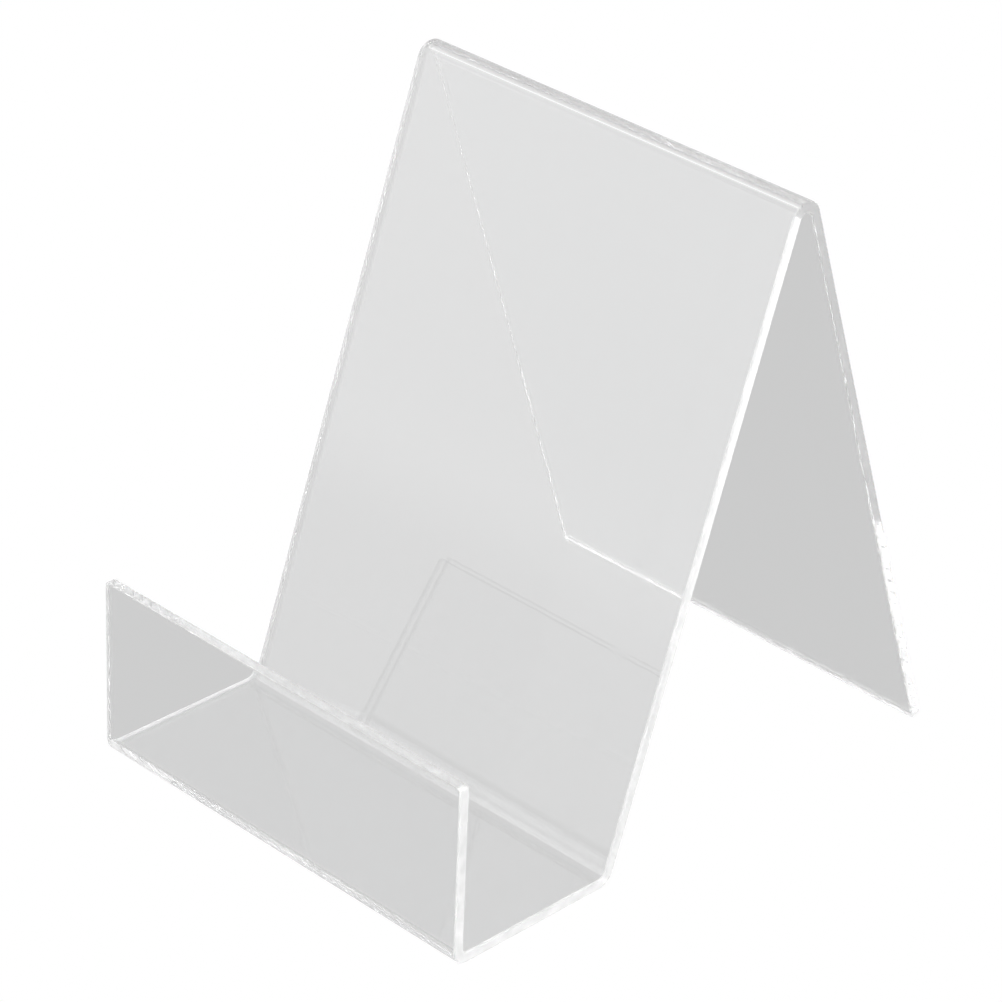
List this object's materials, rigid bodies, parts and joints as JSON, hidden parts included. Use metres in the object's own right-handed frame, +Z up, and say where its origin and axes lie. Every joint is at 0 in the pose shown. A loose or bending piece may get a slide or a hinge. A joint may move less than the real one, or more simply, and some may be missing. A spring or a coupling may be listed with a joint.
{
  "type": "plate display stand",
  "caption": "Clear acrylic easel folded from one sheet: a lipped ledge holds the rim of a plate against a leaning backrest that a rear leg props up.",
  "frame": {"origin": "centre of the overall footprint, on the table surface", "axes": "+X along the width, parallel to every fold; +Y from the front lip towards the rear leg; +Z up"},
  "size_m": [0.127, 0.1708, 0.1673],
  "materials": {
    "acrylic": "clear, polished faces, flame-polished sawn edges"
  },
  "bodies": {
    "root": {"front_lip": "acrylic", "lip_bend": "acrylic", "ledge": "acrylic", "ledge_bend": "acrylic", "backrest": "acrylic", "top_bend": "acrylic", "rear_leg": "acrylic"}
  },
  "joints": []
}
